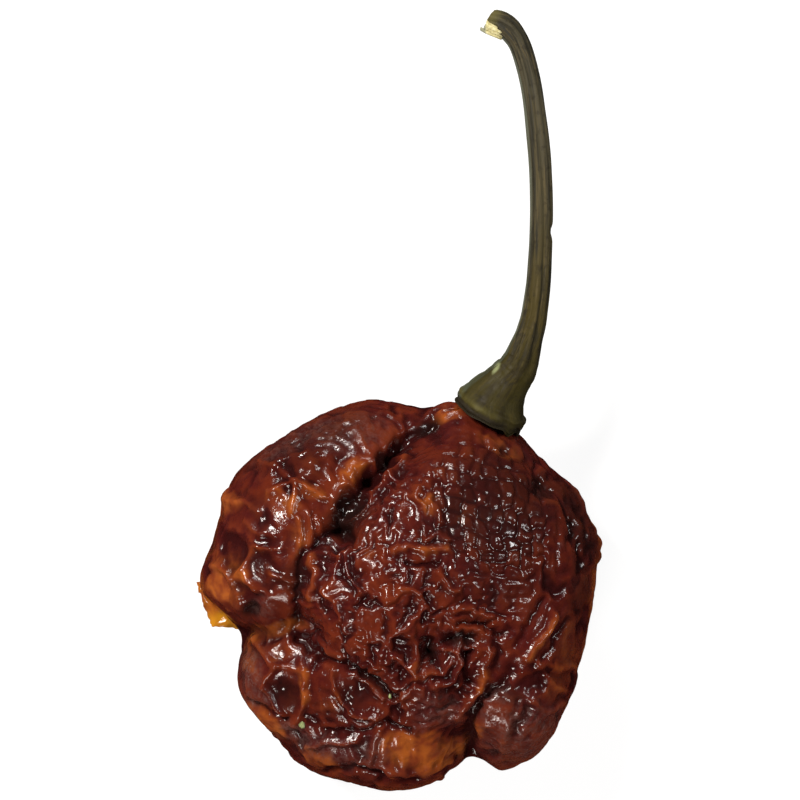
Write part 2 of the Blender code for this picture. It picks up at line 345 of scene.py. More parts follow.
# Pits and knobs: (x, y, radius, height).
BACK_SPOTS = (
    (12.2, 9.2, 1.1, -0.75), (-12.6, -1.6, 0.70, -0.65), (-7.5, 11.1, 0.45, 0.40), (-9.7, 8.1, 0.9, -0.25),
    (-15.2, 0.7, 1.1, -0.25), (-11.9, 3.0, 1.3, -0.30), (-10.1, -4.9, 1.3, -0.45), (-10.0, -8.4, 1.3, -0.70),
    (-3.6, -8.4, 1.4, -0.45), (0.4, -2.7, 1.2, 0.45), (5.9, -3.9, 0.5, -0.35), (1.4, -13.6, 1.8, -0.35),
    (-11.0, 12.0, 1.8, 0.25), (14.2, -7.0, 1.6, -0.25), (-5.2, 11.2, 1.0, -0.3), (-2.4, 4.4, 0.9, -0.35),
    (-15.3, 8.1, 0.7, 0.55), (9.6, -6.6, 0.8, -0.35), (-3.3, 2.0, 0.7, -0.35), (3.4, 9.4, 0.6, -0.3),
)


def near_line(x, y, points):
    """Distance, seen from above, from each place to a line through these points."""
    nearest = np.full(len(x), np.inf)
    for (ax, ay), (bx, by) in zip(points, points[1:]):
        dx, dy = bx - ax, by - ay
        along = np.clip(((x - ax) * dx + (y - ay) * dy) / (dx * dx + dy * dy), 0, 1)
        nearest = np.minimum(nearest, np.hypot(x - ax - along * dx, y - ay - along * dy))
    return nearest


def smooth(value, low, high):
    share = np.clip((value - low) / (high - low), 0, 1)
    return share * share * (3 - 2 * share)


def cells_of(places, seed, jitter=1.0):
    """Divides up space round scattered points, about 1 apart. For each place, how far it is from its
    cell's edge and its cell's chance number, from 0 to 1."""
    sides = places.shape[1]
    dice = np.random.default_rng(seed).random((4099, sides + 1))
    home = np.floor(places).astype(np.int64)
    nearest = np.full(len(places), 9.0)
    second = nearest.copy()
    chance = np.zeros(len(places))
    for step in itertools.product((-1, 0, 1), repeat=sides):
        roll = dice[((home + step) @ np.array((73, 1179, 283)[:sides])) % 4099]
        middle = home + step + 0.5 + jitter * (roll[:, :sides] - 0.5)
        away = np.linalg.norm(middle - places, axis=1)
        chance = np.where(away < nearest, roll[:, sides], chance)
        second = np.minimum(second, np.maximum(away, nearest))
        nearest = np.minimum(nearest, away)
    return second - nearest, chance


def patch(x, y, cx, cy, rx, ry, turn=0.0, low=0.75, high=1.25):
    """1 inside an oval patch and 0 well outside it."""
    c, s = math.cos(math.radians(turn)), math.sin(math.radians(turn))
    u, v = (x - cx) * c + (y - cy) * s, (y - cy) * c - (x - cx) * s
    return 1 - smooth(np.hypot(u / rx, v / ry), low, high)


WANDER = 0.38  # how far a listed line strays, in mm
WANDER_SIZE = 2.2 * MM
random = np.random.default_rng(11)
normals = read_normals(skin_mesh)
x, y = ((base[:, :2] - np.array(POD_MIDDLE)[:2]) / MM).T
back = smooth(normals[:, 2], 0.0, 0.35)

noise.seed_set(3)  # vector noise has another offset in each run unless its seed is set
wander = np.array([noise.noise_vector(Vector(p) / WANDER_SIZE) for p in base])
wander += 0.5 * np.array([noise.noise_vector(Vector(p) / WANDER_SIZE * 2.7) for p in base])
line_x, line_y = x + WANDER * wander[:, 0], y + WANDER * wander[:, 1]
relief = np.zeros(len(base))
for points, width, height in BACK_LINES:
    relief += height * np.exp(-((near_line(line_x, line_y, points) / width) ** 2))
for cx, cy, radius, height in BACK_SPOTS:
    relief += height * np.exp(-(((x - cx) ** 2 + (y - cy) ** 2) / radius**2))

# How the skin dries in each region: the grid, the worm-like folds and the smoother, glassy lobes.
grid = patch(x, y, 8.0, 7.6, 6.2, 5.6, -20) * back
worms = np.maximum.reduce((
    patch(x, y, -2.2, -1.6, 7.0, 7.4, -30), patch(x, y, 3.5, -6.0, 5.5, 5.0),
    0.55 * patch(x, y, -6.5, 12.6, 7.5, 3.2, 27), 0.6 * patch(x, y, 11.2, -12.4, 4.8, 3.8),
    0.5 * patch(x, y, -1.0, -15.0, 8.0, 2.6),
)) * back
glassy = np.maximum.reduce((
    patch(x, y, -14.0, 3.2, 6.6, 6.4), patch(x, y, -13.4, 9.0, 3.6, 4.0),
    patch(x, y, -11.2, -7.6, 4.2, 4.6), patch(x, y, 13.6, -4.6, 4.4, 6.6), patch(x, y, -3.6, -8.6, 1.9, 1.9),
)) * smooth(normals[:, 2], -0.35, 0.1)
# Each region's own relief: a quilt of small squares, crumpled cells of which some stand up and some
# sink, and hollow facets. Smaller cells crinkle all of them. Sizes and heights are in mm.
GRID_SIZE, GRID_HEIGHT = 1.15, 0.12
PILLOW_SIZE, PILLOW_HEIGHT = 1.95, 0.60
FACET_SIZE, FACET_HEIGHT = 2.9, 0.26
CRINKLE_SIZE, CRINKLE_HEIGHT = 0.80, 0.10
grid_x = x + 0.06 * y + 0.35 * wander[:, 0]
grid_y = y + 0.22 * x + 0.35 * wander[:, 1]
grid_edge, grid_chance = cells_of(np.stack((grid_x, grid_y), axis=1) / GRID_SIZE, 3, 0.40)
PILLOW_STRETCH = np.array(((0.93, -0.27, 0.0), (0.27, 0.73, 0.0), (0.0, 0.0, 1.0)))
pillow_places = base / MM @ PILLOW_STRETCH / PILLOW_SIZE
pillow_edge, pillow_chance = cells_of(pillow_places + 0.30 * wander, 4)
facet_edge, facet_chance = cells_of(base / MM / FACET_SIZE + 0.22 * wander, 5)
crinkle_edge, crinkle_chance = cells_of(base / MM / CRINKLE_SIZE + 0.35 * wander, 6)
plain = 1 - grid - np.maximum(worms, glassy) * (1 - grid)
relief *= back
relief += grid * GRID_HEIGHT * ((0.5 + grid_chance) * smooth(grid_edge, 0.0, 0.45) - 0.6)
relief += (worms + 0.45 * plain) * PILLOW_HEIGHT * (1.7 * pillow_chance - 1.0) * smooth(pillow_edge, 0.0, 0.6)
relief += (glassy + 0.35 * plain) * FACET_HEIGHT * (1.6 * facet_chance - 1.1) * smooth(facet_edge, 0.0, 0.45)
crinkled = 0.7 + 0.15 * worms - 0.5 * glassy - 0.55 * grid
relief += crinkled * CRINKLE_HEIGHT * (1.6 * crinkle_chance - 1.0) * smooth(crinkle_edge, 0.0, 0.5)
# No crest stands up like a spike.
HIGHEST_CREST = 0.7
relief = np.where(relief > 0, HIGHEST_CREST * np.tanh(relief / HIGHEST_CREST), relief)
base = base + normals * relief[:, None] * MM
base = blurred(base, links, 1)
write_points(skin_mesh, base)
normals = read_normals(skin_mesh)

growth = 0.11 + 0.03 * worms + 0.02 * grid - 0.06 * glassy
growth *= 0.70 + 0.30 * back
hold = 0.014 * (1 + 0.6 * grid) * 10 ** (-0.3 * glassy)

STIFFNESS = 0.20
BENDING = 0.15
OUTWARD_HOLD = 1.5
SLIDE = 0.0008
DAMPING = 0.88
DRYING_STEPS = 280
NOISE = 0.02 * MM


def dry_skin(base, normals, growth, hold, steps):
    """Skin that has outgrown its flesh by growth buckles, held to the flesh by hold. Returns its points."""
    base32, normal32 = base.astype(np.float32), normals.astype(np.float32)
    apart = base32[links] - base32[:, None, :]
    rest = np.sqrt((apart**2).sum(2))
    more = ((growth[:, None] + growth[links]) / 2).astype(np.float32)
    pull_in = hold[:, None].astype(np.float32)
    points = base32 + normal32 * random.normal(0, NOISE, (len(base), 1)).astype(np.float32)
    speed = np.zeros_like(points)
    for step in range(steps):
        grown = rest * (1 + more * min(1.0, (step + 1) / (0.8 * steps)))
        apart = points[links] - points[:, None, :]
        length = np.sqrt((apart**2).sum(2)) + 1e-9
        push = (STIFFNESS * (1 - grown / length))[:, :, None] * apart
        force = push[:, :4].sum(1) + 0.5 * push[:, 4:].sum(1)
        moved = points - base32
        force -= BENDING * around(around(moved, links), links)
        height = (moved * normal32).sum(1, keepdims=True)
        force -= pull_in * (height + OUTWARD_HOLD * np.maximum(height, 0)) * normal32
        force -= SLIDE * (moved - height * normal32)
        speed = DAMPING * speed + force
        points = points + speed
        points[:, 2] = np.maximum(points[:, 2], 0.02 * MM)
    return points.astype(np.float64)


skin = dry_skin(base, normals, growth, hold, DRYING_STEPS)
write_points(skin_mesh, skin)


def keep_attribute(mesh, name, values):
    mesh.attributes.new(name, "FLOAT", "POINT").data.foreach_set("value", values.astype(np.float32))


# What the skin's colour and gloss follow: how high a place stands over what is round it, which paints shade
# into the low places and light onto the crests; its amber windows, partly a painted glow of light through
# thin skin; its grey dust veils, partly painted sheen; and its dark patches, partly painted shade in the
# folds and pits.
wide = blurred(skin, links, 60)
skin_normals = read_normals(skin_mesh)
standing = ((skin - wide) * skin_normals).sum(1) / MM
keep_attribute(skin_mesh, "standing", np.clip(standing / 0.35, -1, 1))
# Amber skin, partly a painted glow of light shining through where the skin is thin.
AMBER_AND_GLOW_PATCHES = (  # (x, y, half width, half height, turn in degrees, strength)
    (-15.6, 0.5, 0.9, 1.4, 25, 1.25), (-14.4, 1.4, 2.4, 2.6, 0, 0.62), (-9.9, 7.9, 1.6, 1.3, 0, 0.7),
    (-7.6, 8.8, 1.4, 0.9, -20, 0.6), (-12.4, 2.6, 2.6, 1.9, 10, 0.42), (-9.9, -3.0, 2.4, 0.8, 10, 0.8),
    (-10.4, -4.8, 1.9, 1.1, -10, 0.5), (-8.1, -7.7, 0.7, 2.0, 5, 0.65), (-14.6, -2.9, 1.6, 0.6, -20, 0.7),
    (-12.6, -3.7, 2.2, 0.9, 10, 0.7), (1.4, -13.4, 3.4, 1.8, -5, 1.0), (5.0, -13.4, 1.6, 1.1, 10, 0.8),
    (6.5, -11.8, 0.9, 1.1, 0, 0.6), (-11.6, -11.4, 2.4, 0.9, -40, 0.95), (4.1, 15.2, 1.8, 0.7, 10, 0.8),
    (2.8, 7.7, 1.2, 1.0, 0, 0.6), (5.4, 6.5, 0.7, 0.6, 0, 0.55), (-3.8, 10.6, 1.5, 1.0, 40, 0.45),
    (-7.3, 1.9, 0.7, 2.2, 0, 0.5), (7.2, -7.4, 0.9, 2.0, -15, 0.35), (12.1, -3.8, 0.55, 2.4, -32, 0.55),
    (-14.6, 7.6, 1.6, 1.1, 0, 0.5), (8.4, 12.4, 3.0, 0.8, -22, 0.6), (-7.0, -14.4, 2.6, 1.0, -30, 0.5),
    (-8.8, 4.9, 1.2, 1.8, 0, 0.45), (3.2, 3.9, 1.6, 0.8, 0, 0.4), (-13.4, -5.6, 1.6, 1.4, 0, 0.6),
    (-5.6, -9.6, 1.0, 2.0, 30, 0.4), (14.0, -5.4, 2.2, 4.4, -10, 0.34), (-2.4, 3.6, 0.8, 0.6, 0, 0.35),
    (-6.6, 13.6, 2.6, 0.9, 25, 0.3),
)
# Grey dust bloom on the lower right lobe, and a painted sheen along the upper left rim.
DUST_AND_SHEEN_PATCHES = (
    (10.8, -12.4, 4.4, 3.2, -10, 0.55), (-13.0, -6.9, 1.2, 1.9, 0, 0.8), (-12.4, -9.2, 1.2, 1.2, 0, 0.5),
    (-4.0, 13.6, 3.2, 1.5, 15, 0.42), (-8.6, 13.2, 4.5, 0.9, 28, 0.40), (-9.2, -11.9, 1.3, 0.9, 0, 0.7),
    (-3.4, -14.0, 3.0, 1.4, 0, 0.45), (3.2, -9.9, 2.2, 1.6, 0, 0.45), (-11.6, -1.2, 1.2, 1.0, 0, 0.4),
    (-7.0, -13.2, 2.4, 1.2, -20, 0.6), (-15.6, 7.9, 0.9, 0.7, 0, 0.6), (8.0, -9.6, 1.0, 2.2, -25, 0.4),
)
# Dark patches: darker skin, and painted shade in the deep folds, pits and hollows.
DARK_AND_SHADED_PATCHES = (
    (12.2, 9.2, 1.7, 1.4, -10, 0.85), (-4.6, 6.8, 1.6, 2.2, -30, 0.9), (-1.5, 11.8, 0.8, 0.7, 0, 0.8),
    (-8.5, 1.6, 0.5, 2.4, 0, 0.6), (2.6, 14.4, 1.2, 0.7, 20, 0.8), (-12.6, -1.6, 0.8, 0.7, 0, 0.8),
    (5.3, -3.8, 1.4, 0.6, 0, 0.8), (2.8, -4.8, 0.5, 0.9, 0, 0.8), (15.2, 6.6, 1.0, 4.8, 20, 0.65),
    (-2.7, -7.0, 3.4, 0.4, -35, 0.6), (-10.0, -8.6, 1.5, 1.5, 20, 0.5), (9.2, -8.4, 1.5, 0.9, 0, 0.5),
    (-3.6, -8.4, 1.6, 1.6, 0, 0.45), (9.6, -11.4, 0.7, 1.2, 0, 0.4), (8.2, 7.4, 5.8, 5.6, -20, 0.62),
    (8.6, 1.6, 5.0, 2.6, 10, 0.35), (-7.4, 10.6, 1.6, 1.2, 20, 0.35), (-11.8, 7.0, 1.0, 1.6, 0, 0.30),
    (15.4, 0.8, 1.0, 3.0, 0, 0.5), (-9.4, 1.4, 1.0, 1.6, 0, 0.45), (-12.6, 11.4, 2.4, 0.7, 35, 0.3),
    (-7.0, 13.0, 5.0, 1.9, 27, 0.50),
)


def patches(listed, low=0.45, high=1.35):
    """The strongest of several oval patches at each place on the back. Their edges wander like the lines."""
    found = np.zeros(len(x))
    for cx, cy, rx, ry, turn, strength in listed:
        found = np.maximum(found, strength * patch(line_x, line_y, cx, cy, rx, ry, turn, low, high))
    return found * back


# Away from the shoulder the pod's edge is thin, and a painted amber glow stands in for light shining through
# it from the white table.
painted_backlight_glow = np.exp(-(((normals[:, 2] - 0.08) / 0.22) ** 2)) * np.maximum.reduce((
    patch(x, y, 17.0, 0.0, 3.0, 8.0), 0.7 * patch(x, y, -13.0, -11.0, 4.0, 5.0),
    0.6 * patch(x, y, 2.0, -16.5, 8.0, 2.2), 0.5 * patch(x, y, 12.0, -13.0, 4.0, 4.0),
    0.6 * patch(x, y, -16.0, 3.0, 3.0, 7.0),
))
keep_attribute(skin_mesh, "amber", np.maximum(patches(AMBER_AND_GLOW_PATCHES), painted_backlight_glow))
# Each fold and facet has its own shade.
keep_attribute(skin_mesh, "shade", grid * grid_chance + worms * (1 - grid) * pillow_chance
               + (1 - grid) * (1 - worms) * facet_chance - 0.5)
keep_attribute(skin_mesh, "dust_and_sheen", patches(DUST_AND_SHEEN_PATCHES))
keep_attribute(skin_mesh, "dark_skin_and_shade", patches(DARK_AND_SHADED_PATCHES))


class Paint:
    """Adds nodes to one material. Its texture coordinates are Object's, scaled to millimetres."""

    def __init__(self, name):
        self.material = bpy.data.materials.new(name)
        self.material.use_nodes = True
        self.nodes = self.material.node_tree.nodes
        self.shader = self.nodes["Principled BSDF"]
        place = self.nodes.new("ShaderNodeTexCoord").outputs["Object"]
        self.mm = self.add("ShaderNodeVectorMath", (place, (1000.0, 1000.0, 1000.0)), operation="MULTIPLY")

    def add(self, kind, inputs, output=0, **settings):
        """A node of this kind. Its inputs, in their order or by name, are sockets or plain values."""
        made = self.nodes.new(kind)
        for name, value in settings.items():
            setattr(made, name, value)
        for place, value in inputs.items() if isinstance(inputs, dict) else enumerate(inputs):
            self.put(value, made.inputs[place])
        return made.outputs[output]

    def put(self, value, socket):
        if isinstance(value, bpy.types.NodeSocket):
            self.material.node_tree.links.new(value, socket)
        elif socket.type == "RGBA":
            socket.default_value = (*value, 1.0)
        else:
            socket.default_value = value

    def attribute(self, name):
        made = self.nodes.new("ShaderNodeAttribute")
        made.attribute_name = name
        return made.outputs["Fac"]

    def noise(self, size, detail=3.0, roughness=0.55, distortion=0.0):
        """Noise from 0 to 1, its lumps about size mm apart."""
        wanted = {"Vector": self.mm, "Scale": 1.0 / size, "Detail": detail,
                  "Roughness": roughness, "Distortion": distortion}
        return self.add("ShaderNodeTexNoise", wanted, "Fac")

    def maths(self, operation, *values):
        return self.add("ShaderNodeMath", values, operation=operation)

    def plus(self, one, other):
        return self.maths("ADD", one, other)

    def minus(self, one, other):
        return self.maths("SUBTRACT", one, other)

    def times(self, one, other):
        return self.maths("MULTIPLY", one, other)

    def ramp(self, value, low, high, start=0.0, end=1.0):
        """Start up to low, end from high on, and a smooth slope between."""
        wanted = {"Value": value, "From Min": low, "From Max": high, "To Min": start, "To Max": end}
        return self.add("ShaderNodeMapRange", wanted, interpolation_type="SMOOTHSTEP")

    def mix(self, share, below, above, blend="MIX"):
        """Two colours mixed. Each is a socket or three numbers."""
        made = self.nodes.new("ShaderNodeMix")
        made.data_type = "RGBA"
        made.blend_type = blend
        self.put(share, made.inputs["Factor"])
        for socket in made.inputs:
            if socket.type == "RGBA":
                self.put(below if socket.name == "A" else above, socket)
        return next(socket for socket in made.outputs if socket.type == "RGBA")


skin_paint = Paint("chilli_skin")
rises = skin_paint.attribute("standing")
mottle = skin_paint.noise(3.0, 3.0, 0.6, 0.6)
fleck = skin_paint.noise(0.9, 4.0, 0.6)
lively = skin_paint.times(skin_paint.minus(fleck, 0.5), 1.1)
tone = skin_paint.plus(skin_paint.plus(lively, rises), skin_paint.times(skin_paint.attribute("shade"), 0.85))
SHADED_VALLEY_RED, LIT_RIDGE_RED = (0.032, 0.0048, 0.0046), (0.165, 0.026, 0.009)
DARK_RED, MID_RED = (0.065, 0.0078, 0.0066), (0.108, 0.0150, 0.0064)
DEEP_AMBER, AMBER, GLOW_THROUGH_YELLOW = (0.190, 0.034, 0.011), (0.385, 0.094, 0.015), (0.62, 0.26, 0.012)
DARK_AND_SHADE_RED, DUST_AND_SHEEN_GREY = (0.014, 0.0058, 0.0048), (0.150, 0.078, 0.066)
mid = skin_paint.mix(skin_paint.ramp(mottle, 0.38, 0.66), DARK_RED, MID_RED)
# Painted shade darkens the low places and painted light lightens the crests.
colour = skin_paint.mix(skin_paint.ramp(tone, -0.65, 0.20), SHADED_VALLEY_RED, mid)
colour = skin_paint.mix(skin_paint.ramp(tone, 0.1, 1.0, 0.0, 0.6), colour, LIT_RIDGE_RED)
# Amber skin, partly a painted glow of light through thin skin, and stronger on the crests.
amber_and_glow_share = skin_paint.plus(skin_paint.attribute("amber"), skin_paint.times(tone, 0.30))
amber_and_glow_share = skin_paint.ramp(amber_and_glow_share, 0.18, 1.05, 0.0, 0.95)
glow = skin_paint.ramp(skin_paint.noise(1.5, 2.0, 0.5, 0.4), 0.34, 0.68)
colour = skin_paint.mix(amber_and_glow_share, colour, skin_paint.mix(glow, DEEP_AMBER, AMBER))
# Yellow where the torn flap is thinnest, partly a painted glow of light shining through it.
colour = skin_paint.mix(skin_paint.attribute("thin"), colour, GLOW_THROUGH_YELLOW)
# Painted shade in the folds and pits, and darker skin elsewhere.
dark_and_shade_share = skin_paint.times(skin_paint.attribute("dark_skin_and_shade"), skin_paint.ramp(fleck, 0.2, 0.6, 0.6, 1.0))
colour = skin_paint.mix(dark_and_shade_share, colour, DARK_AND_SHADE_RED)
veil = skin_paint.noise(0.55, 5.0, 0.7, 1.2)
# Grey dust bloom, and a painted sheen along the upper left rim.
dust_and_sheen_share = skin_paint.times(skin_paint.attribute("dust_and_sheen"), skin_paint.ramp(veil, 0.42, 0.62, 0.10, 0.65))
colour = skin_paint.mix(dust_and_sheen_share, colour, DUST_AND_SHEEN_GREY)
skin_paint.put(colour, skin_paint.shader.inputs["Base Color"])
gloss = skin_paint.ramp(skin_paint.noise(1.6, 3.0), 0.35, 0.65, 0.13, 0.22)
gloss = skin_paint.plus(gloss, skin_paint.times(dust_and_sheen_share, 0.22))
skin_paint.put(gloss, skin_paint.shader.inputs["Roughness"])
calm = skin_paint.minus(1.0, skin_paint.times(skin_paint.attribute("dark_skin_and_shade"), 0.8))
creases = skin_paint.maths("ABSOLUTE", skin_paint.minus(skin_paint.noise(1.2, 3.0, 0.6, 1.0), 0.5))
creases = skin_paint.times(creases, skin_paint.times(skin_paint.attribute("dust_and_sheen"), 7.0))
creases = skin_paint.plus(creases, skin_paint.times(calm, skin_paint.noise(0.48, 2.0, 0.5, 1.4)))
crinkle = skin_paint.add("ShaderNodeBump", {"Strength": 0.22, "Distance": 0.18 * MM, "Height": creases})
pores = skin_paint.noise(0.20, 4.0, 0.6)
grain = {"Strength": 0.10, "Distance": 0.05 * MM, "Height": pores, "Normal": crinkle}
skin_paint.put(skin_paint.add("ShaderNodeBump", grain), skin_paint.shader.inputs["Normal"])
skin_paint.shader.inputs["IOR"].default_value = 1.42
skin_paint.shader.inputs["Specular IOR Level"].default_value = 0.5

skin_mesh.shade_smooth()
skin_mesh.materials.append(skin_paint.material)
pod_skin = bpy.data.objects.new("pod_skin", skin_mesh)
scene.collection.objects.link(pod_skin)
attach(pod_skin, "root")
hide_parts("pod")

# ---------------------------------------------------------------------------------------------------
# Torn flap
# A scrap of the pod's own skin that has torn at the left lobe's edge and curled out over the waist. It
# is a thin, ragged, see-through sheet, grown onto the pod along its root.
# ---------------------------------------------------------------------------------------------------
FLAP_ROOT = ((-17.2, 0.7), (-16.9, -0.1), (-16.3, -1.0), (-15.7, -1.8), (-15.0, -2.4), (-14.2, -2.9))
FLAP_EDGE = ((-17.75, 0.62), (-17.35, -0.6), (-17.0, -1.9), (-16.35, -3.30), (-15.2, -3.30), (-13.9, -3.60))
FLAP_RISE = -0.8
FLAP_CELLS = 44, 16
FLAP_THICKNESS = 0.13 * MM


def along_points(points, share):
    """A place on the line through these points, at a share of their number."""
    place = share * (len(points) - 1)
    i = min(int(place), len(points) - 2)
    return Vector(points[i]).lerp(Vector(points[i + 1]), place - i)


skin_tree = BVHTree.FromPolygons([Vector(p) for p in skin], [tuple(f.vertices) for f in skin_mesh.polygons])


def on_skin(place_x, place_y):
    """The place on the skin under (x, y), in mm from the pod's middle, and the way it faces there."""
    above = POD_MIDDLE + Vector((place_x, place_y, 20.0)) * MM
    found, facing, _, _ = skin_tree.ray_cast(above, Vector((0, 0, -1)))
    return found, facing


def on_side(place_x, place_y, rise, sunk):
    """The place on the skin's side, level with rise, that faces (x, y). In mm from the pod's middle."""
    level = POD_MIDDLE + Vector((0, 0, rise)) * MM
    outwards = Vector((place_x, place_y, 0)) * MM
    found, facing, _, _ = skin_tree.ray_cast(level + outwards * 1.3, -outwards)
    return found - facing * sunk * MM


bm = bmesh.new()
bmesh.ops.create_grid(bm, x_segments=FLAP_CELLS[0], y_segments=FLAP_CELLS[1], size=1.0)
for vertex in bm.verts:
    u, v = (vertex.co.x + 1) / 2, (vertex.co.y + 1) / 2
    root = on_side(*along_points(FLAP_ROOT, u), FLAP_RISE, 0.25)
    ragged = 0.16 * noise.noise(Vector((u * 13, 2.0, 0))) + 0.10 * noise.noise(Vector((u * 34, 5.0, 0)))
    edge = along_points(FLAP_EDGE, u) * MM
    edge = Vector((POD_MIDDLE.x + edge.x, POD_MIDDLE.y + edge.y, root.z + 0.1 * MM))
    edge += (edge - root).normalized() * ragged * MM * (1.2 if 0.06 < u < 0.94 else 0.0)
    curl = 0.35 * math.sin(math.pi * v) + 0.30 * v * v * math.sin(u * 11)
    wave = 0.28 * v * noise.noise(Vector((u * 7, v * 2, 9.0)))
    vertex.co = root.lerp(edge, v) + Vector((0, 0, (curl + wave) * MM))
bmesh.ops.solidify(bm, geom=bm.verts[:] + bm.edges[:] + bm.faces[:], thickness=FLAP_THICKNESS)
bmesh.ops.recalc_face_normals(bm, faces=bm.faces[:])
flap = piece_from(bm, "torn_flap", skin_paint.material)
flap_points = read_points(flap.data)
# The flap's amber, and the yellow low down, are partly its own colour and partly a painted glow of light
# shining through the thin sheet.
thin = np.array([noise.noise(Vector(p) / (0.9 * MM)) for p in flap_points])
keep_attribute(flap.data, "amber", np.clip(1.25 + 0.9 * thin, 0, 1.6))
flap_low = (flap_points[:, 1] - POD_MIDDLE.y) / MM
keep_attribute(flap.data, "thin", np.clip(0.12 + 0.65 * smooth(flap_low, -1.6, -2.6) + 0.5 * thin, 0, 0.9))
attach(flap, "root")
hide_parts("pod")

# ---------------------------------------------------------------------------------------------------
# Leaf crumbs
# Two flat crumbs of pale, dry leaf that stick to the skin below the middle.
# ---------------------------------------------------------------------------------------------------
CRUMBS = (  # (x, y, half width, half height, turn in degrees)
    (-8.40, -11.20, 0.24, 0.40, 20), (-0.85, -8.65, 0.20, 0.12, -35),
)
crumb_paint = Paint("dry_leaf")
crumb_green = crumb_paint.ramp(crumb_paint.noise(0.22, 3.0), 0.35, 0.65)
crumb_paint.put(crumb_paint.mix(crumb_green, (0.24, 0.29, 0.10), (0.42, 0.47, 0.22)),
                crumb_paint.shader.inputs["Base Color"])
crumb_paint.shader.inputs["Roughness"].default_value = 0.85
bm = bmesh.new()
for cx, cy, half_x, half_y, turn in CRUMBS:
    new = bmesh.ops.create_icosphere(bm, subdivisions=3, radius=1.0)["verts"]
    spot, facing = on_skin(cx, cy)
    facing = (facing + Vector((0, 0, 1.5))).normalized()
    turned = facing.to_track_quat("Z", "Y")
    for vertex in new:
        lump = 1 + 0.45 * noise.noise(vertex.co * 1.9 + Vector((cx, cy, 0)))
        flat = Vector((vertex.co.x * half_x * lump, vertex.co.y * half_y * lump, 0))
        flat.rotate(Matrix.Rotation(math.radians(turn), 3, "Z"))
        flat.z = 0.10 + vertex.co.z * 0.06 + 0.05 * noise.noise(vertex.co * 2.5)
        vertex.co = spot + turned @ (flat * MM)
crumbs = piece_from(bm, "leaf_crumbs", crumb_paint.material)
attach(crumbs, "root")

# ---------------------------------------------------------------------------------------------------
# Calyx and stem
# The stem is a ribbed, woody rod that flares into the calyx, a shallow cap with a scalloped rim on the
# pod's shoulder. Both are drawn out ring by ring along one line and meet in a seam inside the flare.
# ---------------------------------------------------------------------------------------------------
ROD_SIDES = 60
STEM_PATH = (  # (x, y, z, radius), in mm, from the calyx's foot to the broken end
    (7.93, -0.72, 11.04, 3.24), (8.09, -0.40, 11.13, 3.29), (8.40, 0.20, 11.31, 2.93),
    (8.98, 1.09, 11.58, 2.36), (9.77, 2.16, 11.90, 1.93), (10.30, 2.88, 12.10, 1.74),
    (10.78, 3.90, 12.36, 1.54), (11.17, 5.20, 12.61, 1.33), (11.53, 6.40, 12.80, 1.20),
    (11.81, 7.80, 12.98, 1.13), (12.11, 10.20, 13.18, 1.07), (12.28, 12.90, 13.28, 1.03),
    (12.37, 15.90, 13.25, 1.02), (12.35, 18.90, 13.12, 1.01), (12.16, 22.10, 12.86, 0.99),
    (11.74, 25.90, 12.45, 0.95), (11.24, 28.70, 12.08, 0.94), (10.62, 30.70, 11.76, 0.97),
    (9.94, 31.90, 11.52, 1.03), (9.14, 32.66, 11.32, 1.07), (8.46, 32.93, 11.22, 1.00),
)
SEAM = 0.30  # where along the path the calyx ends and the stem starts, as a share of the path's points
RIBS = (  # grooves down the rod: (angle in degrees, half width in degrees, depth as a share of the radius)
    (20, 9, 0.10), (62, 12, 0.16), (98, 8, 0.09), (131, 12, 0.15), (168, 9, 0.10), (215, 14, 0.12),
    (262, 10, 0.12), (300, 13, 0.15), (338, 9, 0.10),
)


def on_path(share):
    """The path's point, direction and radius at a share of its length in points, on a smooth curve."""
    place = min(max(share, 0.0), 1.0) * (len(STEM_PATH) - 1)
    i = min(int(place), len(STEM_PATH) - 2)
    t = place - i
    last = len(STEM_PATH) - 1
    p0, p1, p2, p3 = (np.array(STEM_PATH[min(max(k, 0), last)]) for k in (i - 1, i, i + 1, i + 2))
    square = 2 * p0 - 5 * p1 + 4 * p2 - p3
    cube = 3 * p1 - p0 - 3 * p2 + p3
    point = 0.5 * (2 * p1 + (p2 - p0) * t + square * t * t + cube * t**3)
    slope = 0.5 * ((p2 - p0) + 2 * square * t + 3 * cube * t * t)
    return Vector(point[:3]), Vector(slope[:3]).normalized(), point[3]


def turn_gap(a, b):
    """The smaller angle between two angles in degrees."""
    return abs((a - b + 180) % 360 - 180)


def ring_noise(angle, size, level, scale=1.0):
    """Smooth noise round the rod, from -1 to 1, that meets itself after a full turn."""
    a = math.radians(angle)
    return noise.noise(Vector((math.cos(a) * size, math.sin(a) * size, level)) * scale)


def rod_point(share, angle, swell=1.0, along=0.0):
    """A place on the ribbed rod in mm. Angle 0 is on the right, 90 on top and 180 on the left, in degrees."""
    centre, ahead, radius = on_path(share)
    right = ahead.cross(Vector((0, 0, 1))).normalized()
    up = right.cross(ahead)
    twist = angle + 14 * math.sin(share * 5.0) - 26 * share
    depth = sum(deep * math.exp(-((turn_gap(twist, at) / wide) ** 2)) for at, wide, deep in RIBS)
    lumps = 0.05 * ring_noise(twist, 1.0, share * 16, 1.1)
    ribbed = 0.32 + 0.68 * float(smooth(np.array(share), SEAM - 0.10, SEAM + 0.08))
    radius *= swell * (1 - depth * ribbed + lumps)
    a = math.radians(angle)
    return centre + ahead * along + (right * math.cos(a) + up * math.sin(a)) * radius


